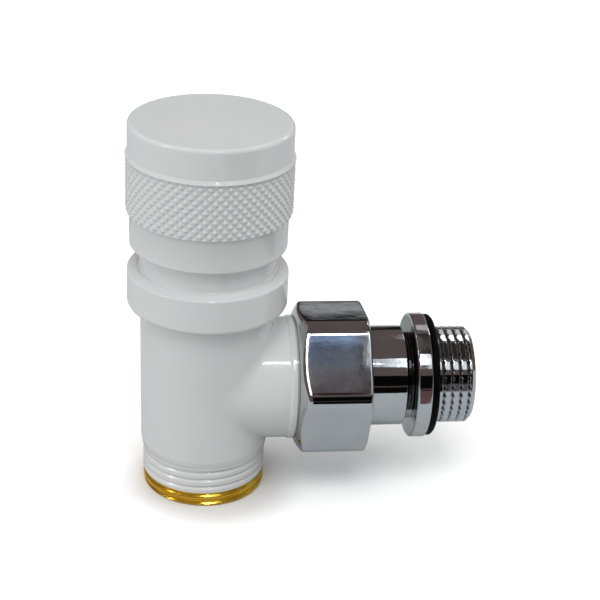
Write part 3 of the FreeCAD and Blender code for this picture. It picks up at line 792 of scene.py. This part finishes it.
def make_tail_thread():
    """The outlet thread: broad lands, narrow grooves and notches along each land's edge."""
    notches = 36
    columns = notches * 14
    rows = 120
    cut_start, cut_in, cut_out = 0.55, 0.15, 0.12
    groove_reach, notch_reach = 0.17, 0.15
    groove_depth, notch_depth = 0.55, 0.40
    end_bevel, bevel_slope = 0.75, 0.9
    bore_bevel = 0.4
    place, angle = round_grid(np.linspace(SEAL_END, TAIL_END, rows), columns)
    tooth = angle / TURN * notches
    tooth = tooth - np.floor(tooth)
    cut = smooth_step((tooth - cut_start) / cut_in) * smooth_step((1.0 - tooth) / cut_out)
    phase = (place - SEAL_END) / THREAD_PITCH - angle / TURN
    off = phase - np.round(phase)
    reach = np.where(off < 0, groove_reach, groove_reach + notch_reach * cut)
    groove = smooth_step(1 - np.abs(off) / reach)
    radius = TAIL_THREAD_R - (groove_depth + notch_depth * cut) * groove
    radius = np.minimum(radius, TAIL_THREAD_R - end_bevel + (TAIL_END - place) * bevel_slope)
    outside = polar(radius, angle, place)
    bore = np.array([
        (TAIL_BORE_R + bore_bevel, TAIL_END),
        (TAIL_BORE_R, TAIL_END - bore_bevel),
        (TAIL_BORE_R, SEAL_END),
    ])
    points = np.concatenate([outside, turned(bore, columns)])
    piece = finish_mesh("tail_thread", laid(points))
    settle(piece, "tail", "chrome_plate", chrome)


def make_seal():
    """The black ring squeezed against the flange."""
    inner = SEAL_SEAT_R + 0.05
    start = FLANGE_END + 0.02
    bevel = 0.45
    outline = softened([
        (inner, start, 0),
        (FLANGE_R - 0.5, start, 0.1),
        (SEAL_R, FLANGE_END + bevel, 0.4),
        (SEAL_R, SEAL_END - bevel, 0.4),
        (FLANGE_R - 0.7, SEAL_END, 0.1),
        (inner, SEAL_END, 0),
    ])
    piece = finish_mesh("flange_ring", laid(turned(outline, COARSE_ROUND)))
    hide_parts("flange_seal")
    settle(piece, "tail", "black_rubber", rubber)


make_shell()
make_rim()
make_collar()
make_inlet()
make_cap()
make_knurl()
make_nut()
make_barrel()
make_tail_thread()
make_seal()

# The pieces inside keep their CAD shapes and get finished materials
INSIDE = {
    brass: (
        "headwork_bonnet", "gland_nut", "spindle", "disc_holder", "disc_washer",
        "handwheel_hub", "nut_retaining_ring",
    ),
    steel: ("swivel_ring", "disc_screw", "handwheel_clip"),
    rubber: (
        "bonnet_seal", "spindle_o_ring_lower", "spindle_o_ring_upper", "disc_seal",
        "tail_o_ring",
    ),
    plastic: ("gland_washer",),
}
for material, names in INSIDE.items():
    for name in names:
        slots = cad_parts[name].data.materials
        slots.clear()
        slots.append(material)


# Stage

def plain_quad(name, width, height):
    """One flat sheet round its own centre, for the stage only."""
    x = width / 2
    y = height / 2
    mesh = bpy.data.meshes.new(name)
    mesh.from_pydata([(-x, -y, 0), (x, -y, 0), (x, y, 0), (-x, y, 0)], [], [(0, 1, 2, 3)])
    sheet = put_in_scene(name, mesh)
    return sheet


def make_floor():
    """A pale floor: dull in what it lights and in reflections, with a painted contact shadow close
    round the foot.
    """
    side = 6.0
    foot = (0.002, -0.003, 0.0)
    painted_contact_shadow_tones = {"From Min": 0.012, "From Max": 0.022, "To Min": 0.90, "To Max": 1.29}
    bounced = (0.44, 0.44, 0.44, 1.0)
    mirrored = (0.60, 0.64, 0.65, 1.0)
    floor = plain_quad("floor", side, side)
    material, tree, shader, add = new_material("pale_floor")
    path = add("ShaderNodeLightPath")

    def mixed(factor, low, high):
        """A colour mix of two sockets or plain colours."""
        node = add("ShaderNodeMix", data_type="RGBA")
        sockets = [one for one in node.inputs if one.enabled]
        tree.links.new(factor, sockets[0])
        for socket, value in zip(sockets[1:], (low, high)):
            if isinstance(value, bpy.types.NodeSocket):
                tree.links.new(value, socket)
            else:
                socket.default_value = value
        return [one for one in node.outputs if one.enabled][0]

    seen = ramp(tree, add, noise(tree, add, 4.0), [
        (0.3, (0.98, 0.98, 0.98)),
        (0.7, (1.00, 1.00, 1.00)),
    ])
    lift = add("ShaderNodeVectorMath", operation="SCALE")
    tree.links.new(seen, lift.inputs[0])
    # Painted contact shadow: the floor's seen colour darkens towards the foot
    place = add("ShaderNodeTexCoord")
    from_foot = add("ShaderNodeVectorMath", operation="DISTANCE")
    tree.links.new(place.outputs["Object"], from_foot.inputs[0])
    from_foot.inputs[1].default_value = foot
    painted_contact_shadow = add("ShaderNodeMapRange", interpolation_type="SMOOTHSTEP", **painted_contact_shadow_tones)
    tree.links.new(from_foot.outputs["Value"], painted_contact_shadow.inputs["Value"])
    tree.links.new(painted_contact_shadow.outputs["Result"], lift.inputs["Scale"])
    hidden = mixed(path.outputs["Is Glossy Ray"], bounced, mirrored)
    colour = mixed(path.outputs["Is Camera Ray"], hidden, lift.outputs["Vector"])
    sheet = add("ShaderNodeBsdfDiffuse")
    tree.links.new(colour, sheet.inputs["Color"])
    tree.nodes.remove(shader)
    out = tree.nodes["Material Output"]
    tree.links.new(sheet.outputs["BSDF"], out.inputs["Surface"])
    floor.data.materials.append(material)


def make_card(name, centre, facing, width, height, bands, strength=1.0, **glow):
    """A card seen only in reflections, with bands of (height share, colour) from bottom to top."""
    card = plain_quad(name, width, height)
    light_card(card, bands, strength, **glow)
    card.location = centre
    card.rotation_mode = "QUATERNION"
    card.rotation_quaternion = (Vector(facing) - Vector(centre)).to_track_quat("Z", "Y")


def light_card(card, bands, strength, speckle=0.0, spots=(-0.4, 1.6), mode="CONSTANT"):
    """Makes a sheet glow in the bands' colours, in spots if asked, for first reflections only."""
    first_depth = 1.5
    material, tree, shader, add = new_material(card.name)
    place = add("ShaderNodeTexCoord")
    split = add("ShaderNodeSeparateXYZ")
    tree.links.new(place.outputs["Generated"], split.inputs["Vector"])
    colour = ramp(tree, add, split.outputs["Y"], bands, mode)
    path = add("ShaderNodeLightPath")
    direct = add("ShaderNodeMath", operation="LESS_THAN")
    tree.links.new(path.outputs["Ray Depth"], direct.inputs[0])
    direct.inputs[1].default_value = first_depth
    glow = add("ShaderNodeMath", operation="MULTIPLY")
    tree.links.new(direct.outputs[0], glow.inputs[0])
    glow.inputs[1].default_value = strength
    if speckle:
        dots = spread(tree, add, noise(tree, add, speckle, 4.0, 0.65), *spots)
        dotted = add("ShaderNodeMath", operation="MULTIPLY")
        tree.links.new(glow.outputs[0], dotted.inputs[0])
        tree.links.new(dots, dotted.inputs[1])
        glow = dotted
    tree.links.new(colour, shader.inputs["Emission Color"])
    tree.links.new(glow.outputs[0], shader.inputs["Emission Strength"])
    shader.inputs["Base Color"].default_value = (0, 0, 0, 1)
    shader.inputs["Specular IOR Level"].default_value = 0.0
    card.data.materials.append(material)
    card.visible_camera = False
    card.visible_diffuse = False
    card.visible_shadow = False
    card.visible_transmission = False


def make_light(name, kind, centre, spread_by, power):
    """A soft light on the valve, a square one of some size or a far one of some breadth."""
    data = bpy.data.lights.new(name, kind)
    if kind == "SUN":
        data.angle = spread_by
    else:
        data.shape = "SQUARE"
        data.size = spread_by
    data.energy = power
    light = put_in_scene(name, data)
    light.location = centre
    light.rotation_mode = "QUATERNION"
    light.rotation_quaternion = (Vector(TARGET) - Vector(centre)).to_track_quat("-Z", "Y")
    light.visible_glossy = False


def make_world():
    """Even white light, with a darker room for reflections and a white backdrop."""
    world = bpy.data.worlds.new("studio")
    bpy.context.scene.world = world
    world.use_nodes = True
    tree = world.node_tree
    tree.nodes.clear()
    path = tree.nodes.new("ShaderNodeLightPath")

    def background(colour, strength):
        node = tree.nodes.new("ShaderNodeBackground")
        node.inputs["Color"].default_value = (*colour, 1.0)
        node.inputs["Strength"].default_value = strength
        return node.outputs[0]

    def chosen(ray, otherwise, shown):
        """One shader for a kind of ray and another otherwise."""
        node = tree.nodes.new("ShaderNodeMixShader")
        for socket, source in enumerate((path.outputs[ray], otherwise, shown)):
            tree.links.new(source, node.inputs[socket])
        return node.outputs[0]

    unseen = chosen("Is Glossy Ray", background(WHITE, 0.55), background(ROOM, 1.0))
    out = tree.nodes.new("ShaderNodeOutputWorld")
    surface = chosen("Is Camera Ray", unseen, background(WHITE, 1.0))
    tree.links.new(surface, out.inputs["Surface"])


def make_camera():
    """The photograph's viewpoint, as fitted to it."""
    right = Vector((0.99236806, -0.11424406, 0.04641044))
    up = Vector((0.00892881, 0.44195332, 0.89699361))
    back = Vector((-0.12298744, -0.88973342, 0.43960042))
    place = Vector((-23.154, -310.011, 195.964)) * MM
    data = bpy.data.cameras.new("camera")
    data.sensor_width = 36.0
    data.lens = 98.56
    data.clip_start = 0.01
    data.clip_end = 20.0
    camera = put_in_scene("camera", data)
    turn = Matrix((right, up, back)).transposed().to_4x4()
    camera.matrix_world = Matrix.Translation(place) @ turn
    bpy.context.scene.camera = camera


def over_branch(across, degrees, distance=0.8):
    """A place over the branch, at an angle from the front horizon over the top."""
    angle = math.radians(degrees)
    rise = distance * math.sin(angle)
    return (across, -distance * math.cos(angle), BRANCH_HIGH + rise)


def around(azimuth, elevation, distance=0.9):
    """A place round the valve, its azimuth counted from the front to the right."""
    middle = 0.05
    turn = math.radians(azimuth)
    rise = math.radians(elevation)
    flat = distance * math.cos(rise)
    return (flat * math.sin(turn), -flat * math.cos(turn), middle + distance * math.sin(rise))


def plain(colour):
    """One even band for a card."""
    return [(0.0, colour), (1.0, colour)]


TARGET = (0.02, 0.0, 0.035)
WHITE = (1.0, 1.0, 1.0)
SKY = (0.90, 0.96, 1.0)
ROSE = (1.0, 0.92, 0.92)
ROOM = (0.140, 0.112, 0.105)
BLACK = (0.003, 0.003, 0.003)
LINE = (0.09, 0.065, 0.065)
UMBER = (0.16, 0.09, 0.09)
DUSK = (0.20, 0.19, 0.21)
GLOW = (0.55, 0.55, 0.57)
DEEP = (0.014, 0.009, 0.009)
BLUE = (0.420, 0.620, 0.920)
BRANCH_HIGH = BRANCH_Z * MM
BESIDE_BRANCH = 0.3  # patches within this reach face the branch, others the whole valve

make_floor()
make_world()
make_camera()

make_light("overhead", "SUN", (-0.10, -0.55, 1.0), math.radians(30), 0.94)
make_light("left_fill", "AREA", (-0.8, -0.20, 0.14), 0.5, 2.2)
make_light("right_fill", "AREA", (0.60, -0.10, 0.70), 0.4, 1.3)

# Window, lamp and sky patches, each placed for the pieces that mirror it:
# name, centre, width, height, colour, strength and scale of speckle
PATCHES = (
    ("lamp", over_branch(0.1225, 54), 0.085, 0.045, WHITE, 22.0, 0.0),
    ("front_lamp", over_branch(0.030, 54), 0.100, 0.120, WHITE, 18.0, 0.0),
    ("barrel_window", over_branch(0.1805, 56), 0.022, 0.260, SKY, 1.6, 70.0),
    ("flange_window", over_branch(0.200, 55.5), 0.018, 0.290, SKY, 3.4, 0.0),
    ("thread_window", over_branch(0.250, 48), 0.082, 0.270, SKY, 1.3, 0.0),
    ("thread_dark", over_branch(0.250, 86), 0.082, 0.640, WHITE, 0.03, 0.0),
    ("thread_sky", over_branch(0.254, 125), 0.076, 0.280, WHITE, 3.0, 0.0),
    ("thread_back", over_branch(0.254, 149), 0.076, 0.400, WHITE, 0.8, 0.0),
    ("flange_sky", over_branch(0.200, 125), 0.018, 0.200, ROSE, 1.1, 60.0),
    ("left_lamp", around(-80, 45), 0.120, 0.200, WHITE, 14.0, 0.0),
    ("left_back_lamp", around(-120, 30), 0.100, 0.160, WHITE, 3.0, 0.0),
    ("nut_right", over_branch(0.1665, 45, 0.83), 0.006, 0.200, WHITE, 0.012, 0.0),
    ("right_lamp", around(126, 28), 0.160, 0.120, WHITE, 9.0, 0.0),
    ("back_dark", (0.113, 0.63, 0.19), 0.110, 0.220, WHITE, 0.01, 0.0),
    ("edge_lamp", over_branch(0.062, 48), 0.034, 0.260, WHITE, 9.0, 0.0),
)
for name, centre, width, height, colour, strength, speckle in PATCHES:
    facing = (centre[0], 0.0, BRANCH_HIGH) if abs(centre[0]) < BESIDE_BRANCH else TARGET
    make_card(name, centre, facing, width, height, plain(colour), strength, speckle=speckle)


def front_card(name, centre, width, height, bands, **glow):
    """A card that faces the valve's middle plane straight on."""
    make_card(name, centre, (centre[0], 0.0, centre[2]), width, height, bands, **glow)


NUT_ACROSS = 0.129
NUT_SKY = [
    (0.00, DEEP),
    (0.22, DEEP),
    (0.25, (0.110, 0.075, 0.072)),
    (0.27, (0.030, 0.020, 0.020)),
    (0.30, (0.125, 0.090, 0.085)),
    (0.33, (0.050, 0.040, 0.040)),
    (0.36, (0.135, 0.105, 0.100)),
    (0.385, (0.070, 0.055, 0.055)),
    (0.42, (0.140, 0.120, 0.122)),
    (0.48, (0.175, 0.175, 0.190)),
    (0.53, (0.160, 0.180, 0.210)),
    (0.57, (0.090, 0.115, 0.170)),
    (0.61, (0.120, 0.170, 0.280)),
    (0.635, BLUE),
    (0.665, BLUE),
    (0.69, (0.200, 0.250, 0.350)),
]
make_card(
    "nut_sky", over_branch(NUT_ACROSS, 47, 0.85), (NUT_ACROSS, 0.0, BRANCH_HIGH), 0.072, 0.24,
    NUT_SKY, speckle=90.0, spots=(0.45, 1.45), mode="LINEAR",
)
front_card(
    "back_glow", (0.113, 0.60, 0.150), 0.070, 0.030,
    [(0.0, BLACK), (0.5, GLOW), (0.8, BLACK)], mode="LINEAR",
)
front_card("flange_front", (0.055, -0.060, 0.013), 0.0046, 0.026, plain(UMBER))
front_card("thread_front", (0.081, -0.111, 0.018), 0.016, 0.036, plain(DUSK), speckle=400.0)

FRONT_HIGH = 0.080
front_card(
    "dark_front", (0.13, -0.112, FRONT_HIGH / 2), 0.2, FRONT_HIGH,
    [(0.00, BLACK), (0.33, LINE), (0.40, BLACK)],
)
bpy.context.scene.view_settings.view_transform = "Standard"
